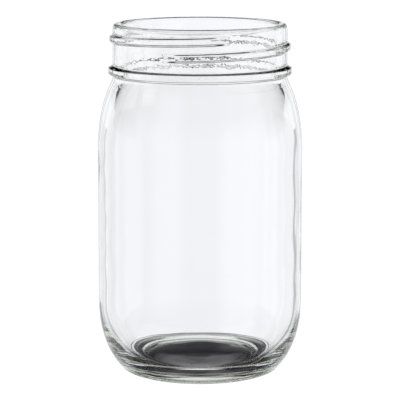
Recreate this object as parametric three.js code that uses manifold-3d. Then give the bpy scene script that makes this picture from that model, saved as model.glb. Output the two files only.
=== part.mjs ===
// A regular-mouth mason jar: one piece of clear moulded glass, open at the top.
//
// Millimetres, +Z up. The origin is on the jar's axis, at the surface that it stands on.
// The jar is a turned wall (a LatheGeometry) with the closure's screw thread joined to its neck.

import * as THREE from 'three';
import { mergeVertices } from 'three/addons/utils/BufferGeometryUtils.js';
import Module from 'manifold-3d';

const wasm = await Module();
wasm.setup();

// ---- Driving dimensions (mm) ----

const height = 134.95;

// Body: a straight cylinder between the heel and the shoulder.
const bodyRadius = 39.45;
const bodyWall = 3.0;
const bodyBottom = 26;
const bodyTop = 85;

// Heel: an elliptical curve from the body down to the mould's parting line, then a small corner.
const heelWidth = 16.5;
const heelDepth = 28;
const partingHeight = 1.5;
const cornerPower = 1.65;

// Foot: a flat ring round a push-up, which is nearly level in the middle.
const footOuterRadius = 28.55;
const footInnerRadius = 26.35;
const pushUp = 3.06;
const pushUpPower = 5.35;

// Shoulder: an elliptical curve from the body, then a straight cone in to the neck's root.
const shoulderWidth = 11.5;
const shoulderDepth = 32;
const shoulderTop = 110;
const neckRootBend = 1.0;

// Neck and lip, sized for a 70 mm screw closure.
const neckRadius = 33.45;
const boreRadius = 29.6;
const outerLipRound = 1.2;
const innerLipRound = 1.8;

// Transfer bead: the plain ring below the thread.
const beadRadius = 35.2;
const beadHeight = 116.9;
const beadHalfHeight = 2.1;

// Screw thread: right-handed, a little over one turn, fading out at both ends.
const threadRadius = 34.7;
const threadHalfWidth = 1.73;
const threadPitch = 5.9;
const threadStart = { angle: -115.3125, height: 124.2 };
const threadSweep = 405;
const threadFade = 14;
const threadBuried = 0.5;

// How much of its height, from its buried root, the thread keeps where it ends.
const threadEndHeight = 0.1;

// Ridges: the bead and the thread are level inside this share of their half width, then slope off.
const flankStart = 0.5;

// Inside: a floor that rises a little in the middle, and the curve from it up to the wall.
const floorHeight = 5.7;
const floorCrown = 0.33;
const floorCrownPower = 4;
const floorRadius = 26.9;
const insideHeelTop = 25.9;
const insideHeelPower = 1.35;

// Faceting. The thread's steps fall midway between the wall's edges, which keeps the join clean.
const turns = 64;
const threadSteps = (threadSweep * turns) / 360;
const ridgeSteps = 4;

const glass = new THREE.MeshStandardMaterial({
  color: 0xe4ebe8,
  roughness: 0.04,
  metalness: 0,
  transparent: true,
  opacity: 0.35,
});

// ---- Outline helpers: x is the distance from the axis, y is the height ----

const degrees = THREE.MathUtils.radToDeg;
const radians = THREE.MathUtils.degToRad;
const smoothstep = THREE.MathUtils.smoothstep;
const lerp = THREE.MathUtils.lerp;

function point(x, y) {
  return new THREE.Vector2(x, y);
}

function arc(centreX, centreY, radiusX, radiusY, fromDegrees, toDegrees, steps) {
  const clockwise = toDegrees < fromDegrees;
  const curve = new THREE.EllipseCurve(
    centreX, centreY, radiusX, radiusY, radians(fromDegrees), radians(toDegrees), clockwise,
  );
  return curve.getPoints(steps);
}

function bend(start, corner, end, steps) {
  const curve = new THREE.QuadraticBezierCurve(start, corner, end);
  return curve.getPoints(steps);
}

// The shares from 0 to 1 at which a curve is sampled, ends included.
function shares(steps) {
  return Array.from({ length: steps + 1 }, (_, i) => i / steps);
}

// A rounded ridge's section, as shares of its half width and of its height, from one foot over.
function ridge() {
  const flank = shares(ridgeSteps).map((share) => {
    const apart = lerp(1, flankStart, share);
    return { apart, proud: 1 - smoothstep(apart, flankStart, 1) };
  });
  const far = flank.toReversed().map(({ apart, proud }) => ({ apart: -apart, proud }));
  return [...flank, ...far];
}

// ---- The jar's outline, part by part ----

function underside() {
  const dome = shares(10).map((share) => {
    const across = Math.sqrt(share);
    return point(footInnerRadius * across, pushUp * (1 - across ** pushUpPower));
  });
  return [...dome, point(footOuterRadius, 0)];
}

function outerHeel() {
  const drop = bodyBottom - partingHeight;
  const partingAngle = degrees(Math.asin(drop / heelDepth));
  const centre = bodyRadius - heelWidth;
  const partingRadius = centre + heelWidth * Math.cos(radians(partingAngle));
  const corner = shares(4).map((share) => {
    const turn = (share * Math.PI) / 2;
    return point(
      lerp(footOuterRadius, partingRadius, Math.sin(turn) ** cornerPower),
      partingHeight * (1 - Math.cos(turn)),
    );
  });
  return [
    ...corner.slice(1),
    ...arc(centre, bodyBottom, heelWidth, heelDepth, -partingAngle, 0, 7).slice(1),
  ];
}

// The cone carries on the curve's slope, and meets the neck's root in a bend tangent to both.
function outerShoulder() {
  const topAngle = degrees(Math.asin((shoulderTop - bodyTop) / shoulderDepth));
  const centre = bodyRadius - shoulderWidth;
  const curve = arc(centre, bodyTop, shoulderWidth, shoulderDepth, 0, topAngle, 6);
  const top = curve.at(-1);
  const slope = (shoulderWidth / shoulderDepth) * Math.tan(radians(topAngle));
  const corner = point(neckRadius, top.y + (top.x - neckRadius) / slope);
  const below = corner.clone().lerp(top, neckRootBend / corner.distanceTo(top));
  const root = point(neckRadius, beadHeight - beadHalfHeight);
  return [...curve, ...bend(below, corner, root, 3)];
}

function transferBead() {
  return ridge().toReversed().map(({ apart, proud }) => (
    point(lerp(neckRadius, beadRadius, proud), beadHeight + beadHalfHeight * apart)
  ));
}

function lip() {
  const outerCentre = neckRadius - outerLipRound;
  const innerCentre = boreRadius + innerLipRound;
  return [
    ...arc(outerCentre, height - outerLipRound, outerLipRound, outerLipRound, 0, 90, 3),
    ...arc(innerCentre, height - innerLipRound, innerLipRound, innerLipRound, 90, 180, 3),
  ];
}

// The outer shoulder moved in by the wall, which thins from the neck's down to the body's.
function innerShoulder() {
  const outer = outerShoulder().toReversed();
  const neckWall = neckRadius - boreRadius;
  return outer.map((here, i) => {
    const before = outer[Math.max(i - 1, 0)];
    const after = outer[Math.min(i + 1, outer.length - 1)];
    const along = after.clone().sub(before).normalize();
    const ends = i === 0 || i === outer.length - 1;
    const inward = ends ? point(-1, 0) : point(along.y, -along.x);
    const wall = lerp(bodyWall, neckWall, smoothstep(here.y, bodyTop, outer[0].y));
    return here.clone().addScaledVector(inward, wall);
  });
}

function inside() {
  const innerRadius = bodyRadius - bodyWall;
  const heel = shares(7).map((share) => {
    const turn = (share * Math.PI) / 2;
    const out = Math.cos(turn) ** insideHeelPower;
    return point(
      lerp(floorRadius, innerRadius, out),
      lerp(insideHeelTop, floorHeight, Math.sin(turn)),
    );
  });
  const floor = shares(4).map((share) => {
    const across = 1 - share;
    return point(floorRadius * across, floorHeight + floorCrown * (1 - across ** floorCrownPower));
  });
  return [...heel, ...floor.slice(1)];
}

function jarWall() {
  const outline = [
    ...underside(),
    ...outerHeel(),
    ...outerShoulder(),
    ...transferBead().slice(1),
    ...lip(),
    ...innerShoulder(),
    ...inside(),
  ];
  return new THREE.LatheGeometry(outline, turns);
}

// ---- The screw thread: a straight bar, wound round the neck ----

// The bar's section: x is out from the root, which is buried in the neck, and y is across.
function threadBar() {
  const crest = threadRadius - neckRadius;
  const outside = ridge().map(({ apart, proud }) => point(crest * proud, threadHalfWidth * apart));
  const section = new THREE.Shape([
    ...outside,
    point(-threadBuried, -threadHalfWidth),
    point(-threadBuried, threadHalfWidth),
  ]);
  return new THREE.ExtrudeGeometry(section, { depth: 1, steps: threadSteps, bevelEnabled: false });
}

// The bar's far end is the thread's lower end, which keeps its faces pointing out.
function screwThread() {
  const bar = threadBar();
  const positions = bar.attributes.position;
  for (let i = 0; i < positions.count; i += 1) {
    const turned = (1 - positions.getZ(i)) * threadSweep;
    const toEnd = Math.min(turned, threadSweep - turned);
    const fade = smoothstep(toEnd, 0, threadFade);
    const aboveRoot = positions.getX(i) + threadBuried;
    const radius = neckRadius - threadBuried + aboveRoot * lerp(threadEndHeight, 1, fade);
    const angle = radians(threadStart.angle + turned);
    const rise = threadStart.height + (threadPitch * turned) / 360;
    const across = positions.getY(i);
    positions.setXYZ(i, radius * Math.cos(angle), radius * Math.sin(angle), rise + across);
  }
  return bar;
}

// ---- Joining ----

// A closed geometry as a solid: shared corners merged, and the flat triangles at the axis dropped.
function toSolid(geometry) {
  geometry.deleteAttribute('normal');
  geometry.deleteAttribute('uv');
  const merged = mergeVertices(geometry, 1e-4);
  const corners = merged.index.array;
  const triangles = [];
  for (let i = 0; i < corners.length; i += 3) {
    const [a, b, c] = corners.slice(i, i + 3);
    if (a !== b && b !== c && c !== a) {
      triangles.push(a, b, c);
    }
  }
  return new wasm.Manifold(new wasm.Mesh({
    numProp: 3,
    vertProperties: new Float32Array(merged.attributes.position.array),
    triVerts: new Uint32Array(triangles),
  }));
}

function toGeometry(solid) {
  const { vertProperties, triVerts } = solid.getMesh();
  const geometry = new THREE.BufferGeometry();
  geometry.setAttribute('position', new THREE.BufferAttribute(vertProperties, 3));
  geometry.setIndex(new THREE.BufferAttribute(triVerts, 1));
  geometry.computeVertexNormals();
  return geometry;
}

// A lathe turns round +Y, so its wall is stood up on +Z before the thread joins it.
const wall = toSolid(jarWall().rotateX(Math.PI / 2));
const thread = toSolid(screwThread());

const jar = new THREE.Mesh(toGeometry(wall.add(thread)), glass);
jar.name = 'glass_jar';

const group = new THREE.Group();
group.add(jar);

export default group;
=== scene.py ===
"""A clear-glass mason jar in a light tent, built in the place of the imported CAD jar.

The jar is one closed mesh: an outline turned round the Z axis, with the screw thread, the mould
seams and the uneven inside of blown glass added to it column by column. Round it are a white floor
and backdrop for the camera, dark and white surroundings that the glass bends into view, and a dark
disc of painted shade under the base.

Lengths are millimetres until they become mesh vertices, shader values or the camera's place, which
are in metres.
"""

import math

import bpy
import numpy as np
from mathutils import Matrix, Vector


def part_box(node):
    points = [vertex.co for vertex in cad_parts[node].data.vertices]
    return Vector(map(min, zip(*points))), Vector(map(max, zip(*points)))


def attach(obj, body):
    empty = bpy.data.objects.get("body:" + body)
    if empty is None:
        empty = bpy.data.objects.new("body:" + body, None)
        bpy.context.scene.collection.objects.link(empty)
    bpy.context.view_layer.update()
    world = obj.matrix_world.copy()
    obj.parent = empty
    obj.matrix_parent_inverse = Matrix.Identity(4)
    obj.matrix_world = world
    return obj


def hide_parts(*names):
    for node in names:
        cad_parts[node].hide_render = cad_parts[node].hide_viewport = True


MM = 0.001

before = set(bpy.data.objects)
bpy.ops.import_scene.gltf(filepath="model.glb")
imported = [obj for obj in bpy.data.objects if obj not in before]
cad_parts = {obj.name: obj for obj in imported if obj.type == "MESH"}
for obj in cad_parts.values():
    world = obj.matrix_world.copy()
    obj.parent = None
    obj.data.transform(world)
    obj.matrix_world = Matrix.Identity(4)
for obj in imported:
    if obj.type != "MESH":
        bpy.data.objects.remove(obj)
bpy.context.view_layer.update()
jar_low, jar_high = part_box("glass_jar")

# ---- Sizes (mm), the first two from the CAD jar's own box ----

HEIGHT = (jar_high.z - jar_low.z) / MM
BODY_RADIUS = jar_high.x / MM
BODY_WALL = 3.0
BODY_BOTTOM = 26.0
BODY_TOP = 85.0

# Heel: an elliptical curve down to the mould's parting line, then a small corner to the foot.
HEEL_WIDTH = 16.5
HEEL_DEPTH = 28.0
PARTING_HEIGHT = 1.5
CORNER_POWER = 1.645

# Foot: a flat ring round a push-up, which is nearly level in the middle.
FOOT_OUTER_RADIUS = 28.55
FOOT_INNER_RADIUS = 26.35
PUSH_UP = 3.06
PUSH_UP_POWER = 5.35

# Shoulder: an elliptical curve from the body, then a cone in to the neck's root.
SHOULDER_WIDTH = 11.5
SHOULDER_DEPTH = 32.0
SHOULDER_TOP = 110.0
NECK_ROOT_BEND = 1.0

NECK_RADIUS = 33.45
BORE_RADIUS = 29.6
OUTER_LIP_ROUND = 1.2
INNER_LIP_ROUND = 1.8

# Transfer bead: the plain ring below the thread.
BEAD_RADIUS = 35.2
BEAD_HEIGHT = 116.9
BEAD_HALF_HEIGHT = 2.1

# Screw thread: right-handed, its lower end at the start angle, fading out at both ends.
THREAD_DEPTH = 1.25
THREAD_HALF_WIDTH = 1.73
THREAD_PITCH = 5.9
THREAD_START_ANGLE = -115.3
THREAD_START_HEIGHT = 124.2
THREAD_SWEEP = 405.0
THREAD_END_LENGTH = 8.0

# Where a ridge's flank starts, as a share of its half width; inside that it is level.
FLANK_START = 0.5

# Inside: a floor that rises a little in the middle, and the curve from it up to the wall.
FLOOR_HEIGHT = 5.69
FLOOR_CROWN = 0.33
FLOOR_CROWN_POWER = 3.95
FLOOR_RADIUS = 26.89
INSIDE_HEEL_TOP = 25.94
INSIDE_HEEL_POWER = 1.35

# Mould seams: fine ridges down both sides, from the parting line to just below the lip.
SEAM_ANGLES = (0.0, 180.0)
SEAM_HEIGHT = 0.10
SEAM_HALF_WIDTH = 0.35
SEAM_BELOW_LIP = 1.0

# Waves in the wall's thickness: a broad one, and finer ones that lean as they go round. Each fine
# one has its depth (mm), how many go round the jar, the height (mm) over which it shifts by a
# radian, and where it starts (radians).
BROAD_WAVE_DEPTH = 0.035
BROAD_WAVES_ROUND = 2
BROAD_WAVE_RISE = 13.0
BROAD_WAVE_START = 0.8
BROAD_RISE_START = 0.5
FINE_WAVES = (
    (0.025, 5, 17.0, 0.0),
    (0.012, 9, -4.0, 2.0),
    (0.008, 14, 1.9, 0.0),
)

# Heights between which the waves come in round the inside heel's top, and go out below the lip.
WAVES_START = (INSIDE_HEEL_TOP - 12, INSIDE_HEEL_TOP + 6)
WAVES_END = (HEIGHT - 9, HEIGHT - 2)

# ---- Fineness of the mesh ----

COLUMNS = 260

# Extra columns at both sides of each mould seam, in degrees from its middle.
SEAM_COLUMNS = (0.15, 0.3, 0.45, 0.6)

DOME_STEPS = 20
RING_STEPS = 3
CORNER_STEPS = 13
HEEL_STEPS = 24
SHOULDER_STEPS = 24
CONE_STEPS = 6
NECK_ROOT_STEPS = 8
BEAD_STEPS = 30
NECK_STEPS = 72
OUTER_LIP_STEPS = 8
INNER_LIP_STEPS = 7
BORE_STEPS = 36
WALL_STEPS = 24
INSIDE_HEEL_STEPS = 26
FLOOR_STEPS = 18

# Points of the outline closer together than this (mm) are one point.
SAME_POINT = 1e-6


# ---- Outline helpers: each stretch is an array of (distance from the axis, height) ----


def arc(centre, radii, start, end, steps):
    turn = np.radians(np.linspace(start, end, steps + 1))
    return np.stack([centre[0] + radii[0] * np.cos(turn), centre[1] + radii[1] * np.sin(turn)], 1)


def line(start, end, steps):
    share = np.linspace(0, 1, steps + 1)[:, None]
    return np.array(start) * (1 - share) + np.array(end) * share


def bend(start, corner, end, steps):
    share = np.linspace(0, 1, steps + 1)[:, None]
    start, corner, end = (np.array(p, float) for p in (start, corner, end))
    return start * (1 - share) ** 2 + 2 * corner * share * (1 - share) + end * share**2


def smooth_step(low, high, value):
    share = np.clip((value - low) / (high - low), 0, 1)
    return share * share * (3 - 2 * share)


def ridge(apart):
    """Height of a rounded ridge, from 1 at its middle to 0 where apart is 1."""
    return 1 - smooth_step(FLANK_START, 1.0, apart)


def without_repeats(points):
    steps = np.linalg.norm(np.diff(points, axis=0), axis=1)
    return points[np.concatenate([[True], steps > SAME_POINT])]


# ---- The jar's outline, part by part ----


def underside():
    share = np.linspace(0, 1, DOME_STEPS + 1)
    dome = np.stack([FOOT_INNER_RADIUS * share, PUSH_UP * (1 - share**PUSH_UP_POWER)], 1)
    ring = line((FOOT_INNER_RADIUS, 0), (FOOT_OUTER_RADIUS, 0), RING_STEPS)
    return [dome, ring]


def outer_heel():
    centre = (BODY_RADIUS - HEEL_WIDTH, BODY_BOTTOM)
    low = math.degrees(math.asin((BODY_BOTTOM - PARTING_HEIGHT) / HEEL_DEPTH))
    curve = arc(centre, (HEEL_WIDTH, HEEL_DEPTH), -low, 0, HEEL_STEPS)
    parting_radius = curve[0][0]
    reach = parting_radius - FOOT_OUTER_RADIUS
    turn = np.radians(np.linspace(-90, 0, CORNER_STEPS + 1))
    radius = FOOT_OUTER_RADIUS + reach * np.cos(turn) ** CORNER_POWER
    corner = np.stack([radius, PARTING_HEIGHT * (1 + np.sin(turn))], 1)
    return [corner, curve]


def outer_shoulder():
    """The curve, the cone that carries on its slope, and a bend into the neck's root."""
    centre = (BODY_RADIUS - SHOULDER_WIDTH, BODY_TOP)
    high = math.asin((SHOULDER_TOP - BODY_TOP) / SHOULDER_DEPTH)
    curve = arc(centre, (SHOULDER_WIDTH, SHOULDER_DEPTH), 0, math.degrees(high), SHOULDER_STEPS)
    top = curve[-1]
    slope = SHOULDER_WIDTH / SHOULDER_DEPTH * math.tan(high)
    corner = np.array([NECK_RADIUS, top[1] + (top[0] - NECK_RADIUS) / slope])
    below = corner + (top - corner) * NECK_ROOT_BEND / np.linalg.norm(top - corner)
    root = (NECK_RADIUS, BEAD_HEIGHT - BEAD_HALF_HEIGHT)
    return [curve, line(top, below, CONE_STEPS), bend(below, corner, root, NECK_ROOT_STEPS)]


def transfer_bead():
    apart = np.linspace(-1, 1, BEAD_STEPS + 1)
    radius = NECK_RADIUS + (BEAD_RADIUS - NECK_RADIUS) * ridge(np.abs(apart))
    return [np.stack([radius, BEAD_HEIGHT + BEAD_HALF_HEIGHT * apart], 1)]


def neck_wall():
    bead_top = (NECK_RADIUS, BEAD_HEIGHT + BEAD_HALF_HEIGHT)
    return [line(bead_top, (NECK_RADIUS, HEIGHT - OUTER_LIP_ROUND), NECK_STEPS)]


def lip():
    outer = (NECK_RADIUS - OUTER_LIP_ROUND, HEIGHT - OUTER_LIP_ROUND)
    inner = (BORE_RADIUS + INNER_LIP_ROUND, HEIGHT - INNER_LIP_ROUND)
    return [
        arc(outer, (OUTER_LIP_ROUND, OUTER_LIP_ROUND), 0, 90, OUTER_LIP_STEPS),
        arc(inner, (INNER_LIP_ROUND, INNER_LIP_ROUND), 90, 180, INNER_LIP_STEPS),
    ]


def inner_shoulder():
    """The bore from the lip down, then the outer shoulder moved in by the wall's thickness."""
    outer = without_repeats(np.concatenate(outer_shoulder())[::-1])
    along = np.gradient(outer, axis=0)
    normal = np.stack([-along[:, 1], along[:, 0]], 1)
    normal /= np.linalg.norm(normal, axis=1)[:, None]
    thickening = smooth_step(BODY_TOP, outer[0, 1], outer[:, 1])
    wall = BODY_WALL + (NECK_RADIUS - BORE_RADIUS - BODY_WALL) * thickening
    curve = (outer - normal * wall[:, None])[:-1]
    bore = line((BORE_RADIUS, HEIGHT - INNER_LIP_ROUND), curve[0], BORE_STEPS)
    return [bore, curve]


def inside():
    inner_radius = BODY_RADIUS - BODY_WALL
    wall = line((inner_radius, BODY_TOP), (inner_radius, INSIDE_HEEL_TOP), WALL_STEPS)
    turn = np.linspace(0, math.pi / 2, INSIDE_HEEL_STEPS + 1)
    reach = inner_radius - FLOOR_RADIUS
    drop = INSIDE_HEEL_TOP - FLOOR_HEIGHT
    heel_radius = FLOOR_RADIUS + reach * np.cos(turn) ** INSIDE_HEEL_POWER
    heel = np.stack([heel_radius, INSIDE_HEEL_TOP - drop * np.sin(turn)], 1)
    share = np.linspace(1, 0, FLOOR_STEPS + 1)
    crown = FLOOR_CROWN * (1 - share**FLOOR_CROWN_POWER)
    floor = np.stack([FLOOR_RADIUS * share, FLOOR_HEIGHT + crown], 1)
    return [wall, heel, floor]


def outline():
    """The closed outline from the middle of the underside, out, up, over the lip and down inside."""
    stretches = (
        underside() + outer_heel() + outer_shoulder() + transfer_bead() + neck_wall()
        + lip() + inner_shoulder() + inside()
    )
    return without_repeats(np.concatenate(stretches))


# ---- What stands out of the outline, at angles in degrees ----


def thread_height(angle, height):
    """How far the screw thread stands out of the neck."""
    proud = np.zeros(np.broadcast(angle, height).shape)
    per_degree = math.radians(NECK_RADIUS)
    for lap in (0, 1):
        along = np.mod(angle - THREAD_START_ANGLE, 360) + 360 * lap
        rise = THREAD_START_HEIGHT + THREAD_PITCH * along / 360
        across = (height - rise) / THREAD_HALF_WIDTH
        past_start = np.maximum(0, THREAD_END_LENGTH - along * per_degree)
        past_end = np.maximum(0, THREAD_END_LENGTH - (THREAD_SWEEP - along) * per_degree)
        past = (past_start + past_end) / THREAD_END_LENGTH
        fade = 1 - smooth_step(0, 1, past)
        proud = np.maximum(proud, THREAD_DEPTH * fade * ridge(np.abs(across)))
    return proud


def seam_height(angle, radius):
    """How far the mould seams stand out."""
    proud = np.zeros(np.broadcast(angle, radius).shape)
    for seam in SEAM_ANGLES:
        apart = np.abs(np.mod(angle - seam + 180, 360) - 180)
        sideways = np.radians(apart) * radius
        proud = np.maximum(proud, SEAM_HEIGHT * (1 - smooth_step(0, SEAM_HALF_WIDTH, sideways)))
    return proud


def blown_wall(angle, height):
    """The uneven inside of blown glass: slow waves in the wall's thickness, none at lip or floor."""
    turn = np.radians(angle)
    around = np.sin(BROAD_WAVES_ROUND * turn + BROAD_WAVE_START)
    up = np.sin(height / BROAD_WAVE_RISE + BROAD_RISE_START)
    waves = BROAD_WAVE_DEPTH * around * up
    for depth, waves_round, lean, start in FINE_WAVES:
        waves = waves + depth * np.sin(waves_round * turn + height / lean + start)
    return waves * smooth_step(*WAVES_START, height) * (1 - smooth_step(*WAVES_END, height))


# ---- The jar's mesh ----


def column_angles():
    """Even columns, with a few more close beside each mould seam."""
    even = np.arange(COLUMNS) * 360.0 / COLUMNS
    beside = np.array([side * apart for side in (-1, 1) for apart in SEAM_COLUMNS])
    extra = np.concatenate([np.mod(seam + beside, 360) for seam in SEAM_ANGLES])
    return np.sort(np.concatenate([even, extra]))


def wall_grid(points, angle):
    """Every point of the wall, by row up the outline and column round the axis, in mm."""
    radius = points[:, 0][:, None]
    height = points[:, 1][:, None]
    lip_row = int(np.argmax(height[:, 0]))
    inner = np.arange(len(points))[:, None] > lip_row
    neck_top = HEIGHT - OUTER_LIP_ROUND
    above_bead = height > BEAD_HEIGHT + BEAD_HALF_HEIGHT
    threaded = ~inner & above_bead & (height < neck_top)
    moulded = ~inner & (height > PARTING_HEIGHT) & (height < neck_top - SEAM_BELOW_LIP)
    radius = radius + np.where(threaded, thread_height(angle, height), 0)
    radius = radius + np.where(moulded, seam_height(angle, radius), 0)
    radius = radius + np.where(inner, blown_wall(angle, height), 0)
    turn = np.radians(angle)
    tall = np.broadcast_to(height, radius.shape)
    return np.stack([radius * np.cos(turn), radius * np.sin(turn), tall], 2)


def wall_faces(rows, columns):
    """Four-sided faces between the rows, and a fan to each end's middle point."""
    column = np.arange(columns)
    after = (column + 1) % columns
    quads = []
    for number in range(rows - 1):
        here = number * columns
        above = here + columns
        quads.append(np.stack([here + column, here + after, above + after, above + column], 1))
    faces = np.concatenate(quads).tolist()
    underside_middle = rows * columns
    floor_middle = underside_middle + 1
    top = (rows - 1) * columns
    faces += [[underside_middle, int(b), int(a)] for a, b in zip(column, after)]
    faces += [[floor_middle, top + int(a), top + int(b)] for a, b in zip(column, after)]
    return faces


def make_jar():
    points = outline()
    grid = wall_grid(points[1:-1], column_angles()[None, :])
    rows, columns = grid.shape[:2]
    middles = [[0, 0, points[0, 1]], [0, 0, points[-1, 1]]]
    vertices = np.concatenate([grid.reshape(-1, 3), middles]) * MM
    mesh = bpy.data.meshes.new("jar_glass")
    mesh.from_pydata(vertices.tolist(), [], wall_faces(rows, columns))
    mesh.shade_smooth()
    return place("jar_glass", mesh)


def place(name, data):
    obj = bpy.data.objects.new(name, data)
    bpy.context.scene.collection.objects.link(obj)
    return obj


# ---- The glass ----

GLASS_IOR = 1.52

# Soda-lime glass's faint green-yellow: the colour that light keeps, and how soon it takes it.
GLASS_TINT = (0.78, 0.81, 0.64, 1)
GLASS_TINT_DENSITY = 10.0

# Fine ripples inside the neck, which chilled first: depth (mm), how closely they lie, and the
# heights (mm) between which they come in above the shoulder and go out below the lip.
RIPPLE_DEPTH = 0.06
RIPPLE_SCALE = 520.0
RIPPLE_START = (106, 112)
RIPPLE_END = (130, 134)

# How far outside the bore a point still counts as the neck's inside.
RIPPLE_MARGIN = 1.2

# Faint broad unevenness all over the surface: depth (mm), and how closely it lies.
CORD_DEPTH = 0.12
CORD_SCALE = 60.0


def math_node(nodes, links, operation, first, second=None):
    node = nodes.new("ShaderNodeMath")
    node.operation = operation
    for socket, value in zip(node.inputs, (first, second)):
        if value is None:
            continue
        if isinstance(value, (int, float)):
            socket.default_value = value
        else:
            links.new(value, socket)
    return node.outputs[0]


def map_node(nodes, links, value, low_high, levels):
    """Eases from one level to the other as the value goes from low to high, both in mm."""
    node = nodes.new("ShaderNodeMapRange")
    node.interpolation_type = "SMOOTHSTEP"
    node.inputs["From Min"].default_value = low_high[0] * MM
    node.inputs["From Max"].default_value = low_high[1] * MM
    node.inputs["To Min"].default_value, node.inputs["To Max"].default_value = levels
    links.new(value, node.inputs["Value"])
    return node.outputs["Result"]


def noise_node(nodes, links, here, scale):
    noise = nodes.new("ShaderNodeTexNoise")
    noise.inputs["Scale"].default_value = scale
    noise.inputs["Detail"].default_value = 1.0
    links.new(here, noise.inputs["Vector"])
    return noise.outputs["Fac"]


def neck_mask(nodes, links, here):
    """1 on the inside of the neck, 0 elsewhere."""
    split = nodes.new("ShaderNodeSeparateXYZ")
    links.new(here, split.inputs[0])
    x, y, z = split.outputs
    x_square = math_node(nodes, links, "MULTIPLY", x, x)
    y_square = math_node(nodes, links, "MULTIPLY", y, y)
    squares = math_node(nodes, links, "ADD", x_square, y_square)
    radius = math_node(nodes, links, "SQRT", squares)
    within = math_node(nodes, links, "LESS_THAN", radius, (BORE_RADIUS + RIPPLE_MARGIN) * MM)
    above = map_node(nodes, links, z, RIPPLE_START, (0, 1))
    below = map_node(nodes, links, z, RIPPLE_END, (1, 0))
    between = math_node(nodes, links, "MULTIPLY", above, below)
    return math_node(nodes, links, "MULTIPLY", within, between)


def uneven_surface(nodes, links):
    """Fine ripples in the inside of the neck, and faint broad ones all over."""
    coordinates = nodes.new("ShaderNodeTexCoord")
    here = coordinates.outputs["Object"]
    ripple = noise_node(nodes, links, here, RIPPLE_SCALE)
    cord = noise_node(nodes, links, here, CORD_SCALE)
    fine = math_node(nodes, links, "MULTIPLY", ripple, neck_mask(nodes, links, here))
    fine = math_node(nodes, links, "MULTIPLY", fine, RIPPLE_DEPTH)
    broad = math_node(nodes, links, "MULTIPLY", cord, CORD_DEPTH)
    total = math_node(nodes, links, "ADD", fine, broad)
    bump = nodes.new("ShaderNodeBump")
    bump.inputs["Strength"].default_value = 1.0
    bump.inputs["Distance"].default_value = MM
    links.new(total, bump.inputs["Height"])
    return bump.outputs["Normal"]


def glass_material():
    material = bpy.data.materials.new("clear_glass")
    material.use_nodes = True
    nodes = material.node_tree.nodes
    links = material.node_tree.links
    shader = nodes["Principled BSDF"]
    shader.inputs["Base Color"].default_value = (1, 1, 1, 1)
    shader.inputs["Roughness"].default_value = 0.0
    shader.inputs["IOR"].default_value = GLASS_IOR
    shader.inputs["Transmission Weight"].default_value = 1.0
    links.new(uneven_surface(nodes, links), shader.inputs["Normal"])
    absorption = nodes.new("ShaderNodeVolumeAbsorption")
    absorption.inputs["Color"].default_value = GLASS_TINT
    absorption.inputs["Density"].default_value = GLASS_TINT_DENSITY
    links.new(absorption.outputs[0], nodes["Material Output"].inputs["Volume"])
    return material


jar = make_jar()
jar.data.materials.append(glass_material())
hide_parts("glass_jar")
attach(jar, "root")


# ---- The stage: a white floor and backdrop, painted shade under the base, and white cards ----

STAGE_SIDES = 96
WHITE = (1, 1, 1, 1)
WHITE_GLOW = 1.05

FLOOR_DISC_RADIUS = 20000
FLOOR_DISC_HEIGHT = -0.4

BACKDROP_RADIUS = 6000
BACKDROP_LOW = -400
BACKDROP_HIGH = 6000

# The pad is painted shade under the base: it lies just below the foot, and reaches a little past it.
PAD_RADIUS = 29.4
PAD_HEIGHT = -0.15
# The painted shade's colour: near black.
PAD_SHADE_COLOUR = (0.016, 0.014, 0.021, 1)

# Cards behind the jar, level with its shoulder and neck, cover parts of the tent's dark gap. The
# edges are distances (mm) to the left and to the right of the jar's middle.
CARD_DISTANCE = 70.0
CARD_LOW = 100
CARD_HIGH = 128
CARD_EDGES = ((22, 30), (34, 150))

# The colour of the tent and of the cards: a slightly cool white.
TENT_COLOUR = (0.985, 0.99, 1.03, 1)


def emission_material(name, colour, strength):
    material = bpy.data.materials.new(name)
    material.use_nodes = True
    nodes = material.node_tree.nodes
    nodes.remove(nodes["Principled BSDF"])
    glow = nodes.new("ShaderNodeEmission")
    glow.inputs["Color"].default_value = colour
    glow.inputs["Strength"].default_value = strength
    material.node_tree.links.new(glow.outputs[0], nodes["Material Output"].inputs["Surface"])
    return material


def circle(radius, height, steps):
    """So many points, from +X round, of a level circle with STAGE_SIDES sides."""
    turns = np.arange(steps) * 2 * math.pi / STAGE_SIDES
    return [(radius * MM * math.cos(t), radius * MM * math.sin(t), height * MM) for t in turns]


def disc(name, radius, height):
    mesh = bpy.data.meshes.new(name)
    mesh.from_pydata(circle(radius, height, STAGE_SIDES), [], [list(range(STAGE_SIDES))])
    return place(name, mesh)


def white_floor():
    """The floor that the camera sees, and that light through or off the glass doesn't."""
    floor = disc("floor", FLOOR_DISC_RADIUS, FLOOR_DISC_HEIGHT)
    floor.data.materials.append(emission_material("white_floor", WHITE, WHITE_GLOW))
    floor.visible_transmission = False
    floor.visible_glossy = False


def white_backdrop():
    """A round white wall far behind everything, which only the camera sees."""
    around = STAGE_SIDES + 1
    low = circle(BACKDROP_RADIUS, BACKDROP_LOW, around)
    high = circle(BACKDROP_RADIUS, BACKDROP_HIGH, around)
    faces = [(i, i + 1, around + i + 1, around + i) for i in range(STAGE_SIDES)]
    mesh = bpy.data.meshes.new("backdrop")
    mesh.from_pydata(low + high, [], faces)
    backdrop = place("backdrop", mesh)
    backdrop.data.materials.append(emission_material("white_backdrop", WHITE, WHITE_GLOW))
    backdrop.visible_transmission = False
    backdrop.visible_glossy = False
    backdrop.visible_shadow = False


def painted_shade_pad():
    """Painted shade: a dark disc under the base, seen only through the glass or in it."""
    pad = disc("painted_shade_pad", PAD_RADIUS, PAD_HEIGHT)
    pad.data.materials.append(emission_material("painted_shade_under_base", PAD_SHADE_COLOUR, 1.0))
    pad.visible_camera = False


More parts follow.
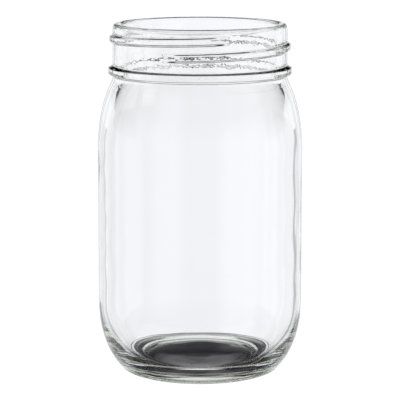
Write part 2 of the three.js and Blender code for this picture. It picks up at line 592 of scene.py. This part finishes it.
def white_card(name, left, right):
    """A glowing card behind the jar, facing it, that only light bent through the glass reaches."""
    corners = ((left, CARD_LOW), (right, CARD_LOW), (right, CARD_HIGH), (left, CARD_HIGH))
    mesh = bpy.data.meshes.new(name)
    mesh.from_pydata([(x * MM, CARD_DISTANCE * MM, z * MM) for x, z in corners], [], [[0, 1, 2, 3]])
    card = place(name, mesh)
    card.data.materials.append(emission_material(name, TENT_COLOUR, 1.0))
    card.visible_camera = False
    card.visible_glossy = False
    card.visible_shadow = False


def white_cards():
    for side in (-1, 1):
        for near, far in CARD_EDGES:
            left, right = sorted((side * near, side * far))
            white_card(f"card_{left}", left, right)


white_floor()
white_backdrop()
painted_shade_pad()
white_cards()


# ---- Light: a tent of white panels with dark gaps between them ----

# Brightness of the tent's wall round the horizon, by compass angle from +X towards +Y.
TENT_WALL = (
    (0, 0.95), (47, 0.95), (51, 0.4), (54, 0.4), (58, 0.92), (76, 0.93), (84, 1.0), (90, 1.0),
    (96, 0.94), (104, 0.9), (123.5, 0.9), (125.5, 0.6), (129, 0.6), (131, 1.0), (140, 1.0),
    (144, 0.6), (148, 0.6), (155, 1.0), (164, 1.0), (167, 0.6), (171, 0.6), (174, 1.0), (186, 1.0),
    (215, 0.6), (250, 0.45), (285, 0.45), (304, 1.0), (326, 1.0), (345, 0.6), (352, 0.95),
)

# Brightness by elevation in degrees, all round, for the part below the horizon: white straight
# below, which keeps the jar clear from above, then a dark ring, and white from there up.
LOW_RISE = ((-90, 1.0), (-72, 1.0), (-64, 0.04), (-44, 0.04), (-36, 1.0))

# Brightness by elevation in front of the jar, dimmer overhead.
TENT_RISE = LOW_RISE + ((8, 1.0), (20, 0.3), (90, 0.3))

# Brightness by elevation behind the jar, where a dark gap lies above the white panel.
BACK_RISE = LOW_RISE + ((4, 1.0), (10, 0.015), (27, 0.015), (37, 1.0), (90, 1.0))

# How far the wall counts as the back, by compass angle.
BACK_SHARE = ((0, 1.0), (180, 1.0), (200, 0.0), (340, 0.0), (360, 1.0))


def ramp_node(nodes, links, share, levels):
    ramp = nodes.new("ShaderNodeValToRGB")
    ramp.color_ramp.interpolation = "EASE"
    stops = ramp.color_ramp.elements
    stops.remove(stops[1])
    for number, (position, level) in enumerate(levels):
        stop = stops[0] if number == 0 else stops.new(position)
        stop.position = position
        stop.color = (level, level, level, 1)
    links.new(share, ramp.inputs["Fac"])
    return ramp.outputs["Color"]


def by_compass(levels):
    """Levels by compass angle, as shares of a full turn."""
    return [(angle / 360, level) for angle, level in levels]


def by_elevation(levels):
    """Levels by elevation, as shares of the way from straight down to straight up."""
    return [(angle / 180 + 0.5, level) for angle, level in levels]


def light_tent():
    world = bpy.data.worlds.new("light_tent")
    bpy.context.scene.world = world
    world.use_nodes = True
    nodes = world.node_tree.nodes
    links = world.node_tree.links
    coordinates = nodes.new("ShaderNodeTexCoord")
    split = nodes.new("ShaderNodeSeparateXYZ")
    links.new(coordinates.outputs["Generated"], split.inputs[0])
    x, y, z = split.outputs
    compass = math_node(nodes, links, "ARCTAN2", y, x)
    turns = math_node(nodes, links, "DIVIDE", compass, 2 * math.pi)
    wall_share = math_node(nodes, links, "FRACT", turns)
    wall = ramp_node(nodes, links, wall_share, by_compass(TENT_WALL))
    back = ramp_node(nodes, links, wall_share, by_compass(BACK_SHARE))
    elevation = math_node(nodes, links, "ARCSINE", z)
    half_turns = math_node(nodes, links, "DIVIDE", elevation, math.pi)
    rise_share = math_node(nodes, links, "ADD", half_turns, 0.5)
    sides_rise = ramp_node(nodes, links, rise_share, by_elevation(TENT_RISE))
    back_rise = ramp_node(nodes, links, rise_share, by_elevation(BACK_RISE))
    change = math_node(nodes, links, "SUBTRACT", back_rise, sides_rise)
    change = math_node(nodes, links, "MULTIPLY", change, back)
    rise = math_node(nodes, links, "ADD", sides_rise, change)
    strength = math_node(nodes, links, "MULTIPLY", wall, rise)
    background = nodes["Background"]
    background.inputs["Color"].default_value = TENT_COLOUR
    links.new(strength, background.inputs["Strength"])


light_tent()


# ---- Camera, at the height and distance that the jar is seen from ----

CAMERA_DISTANCE = 800.0
CAMERA_HEIGHT = 199.4
AIM_HEIGHT = 66.2
LENS = 187.8
SENSOR_WIDTH = 36

# How far the camera sees, in metres, which takes in the whole floor.
CAMERA_REACH = 100


def place_camera():
    camera = place("camera", bpy.data.cameras.new("camera"))
    camera.data.lens = LENS
    camera.data.sensor_width = SENSOR_WIDTH
    camera.data.clip_end = CAMERA_REACH
    camera.location = (0, -CAMERA_DISTANCE * MM, CAMERA_HEIGHT * MM)
    tilt = math.atan2(CAMERA_HEIGHT - AIM_HEIGHT, CAMERA_DISTANCE)
    camera.rotation_euler = (math.pi / 2 - tilt, 0, 0)
    bpy.context.scene.camera = camera


place_camera()

# Light goes through many walls of glass before it leaves the jar.
GLASS_BOUNCES = 40
OTHER_BOUNCES = 16

scene = bpy.context.scene
scene.view_settings.view_transform = "Standard"
scene.cycles.max_bounces = GLASS_BOUNCES
scene.cycles.transmission_bounces = GLASS_BOUNCES
scene.cycles.glossy_bounces = OTHER_BOUNCES
scene.cycles.transparent_max_bounces = OTHER_BOUNCES
